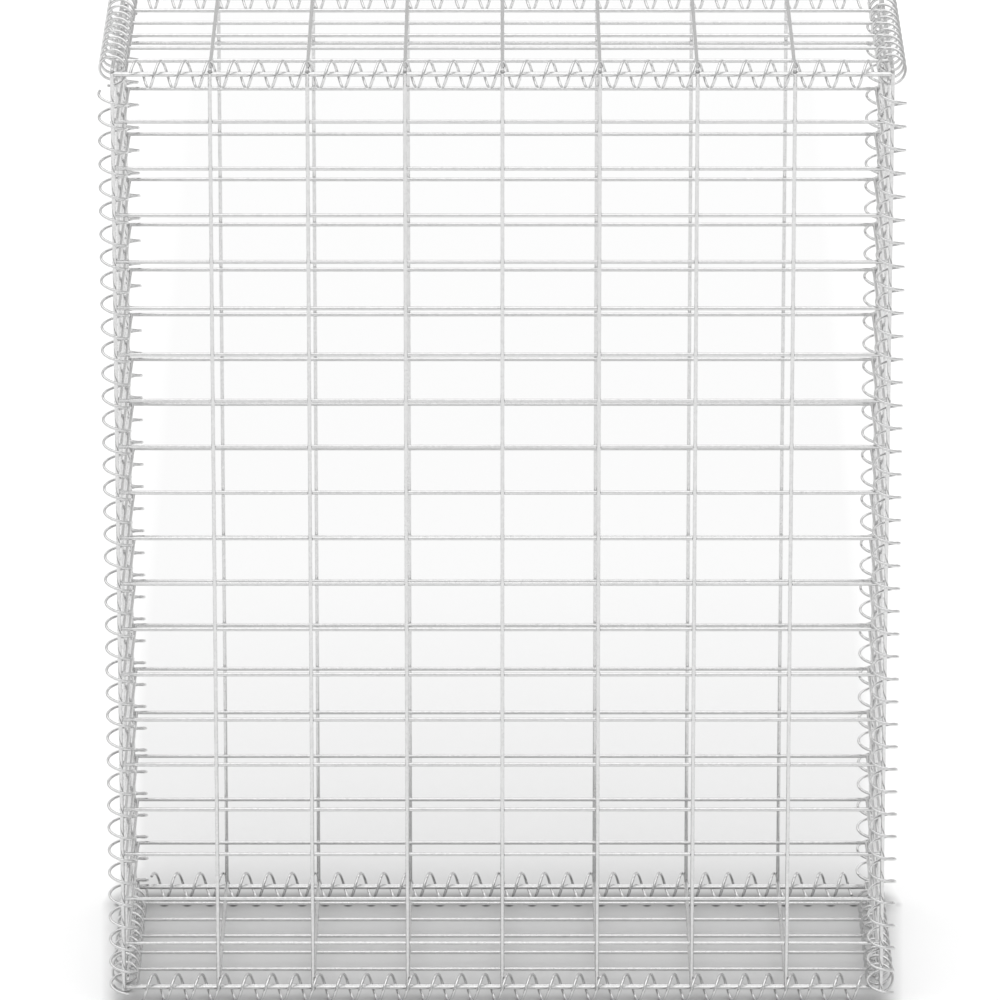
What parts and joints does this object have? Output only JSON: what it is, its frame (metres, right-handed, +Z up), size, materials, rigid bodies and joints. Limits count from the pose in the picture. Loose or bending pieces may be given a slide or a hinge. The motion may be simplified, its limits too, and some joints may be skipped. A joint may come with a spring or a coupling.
{
  "type": "gabion basket",
  "caption": "Empty wire gabion basket for a stone wall: a tall box of welded steel mesh panels with a lid, laced along every edge by steel spirals.",
  "frame": {"origin": "on the ground under the middle of the basket", "axes": "+Z up, X along the wall, front towards -Y"},
  "size_m": [0.831, 0.3394, 1.031],
  "materials": {
    "mesh_wire": "galvanised",
    "spiral_wire": "galvanised"
  },
  "bodies": {
    "root": {"front_panel": "mesh_wire", "back_panel": "mesh_wire", "left_panel": "mesh_wire", "right_panel": "mesh_wire", "lid_panel": "mesh_wire", "base_panel": "mesh_wire", "spiral_front_left": "spiral_wire", "spiral_front_right": "spiral_wire", "spiral_back_left": "spiral_wire", "spiral_back_right": "spiral_wire", "spiral_top_front": "spiral_wire", "spiral_top_back": "spiral_wire", "spiral_top_left": "spiral_wire", "spiral_top_right": "spiral_wire", "spiral_bottom_front": "spiral_wire", "spiral_bottom_back": "spiral_wire", "spiral_bottom_left": "spiral_wire", "spiral_bottom_right": "spiral_wire"}
  },
  "joints": []
}
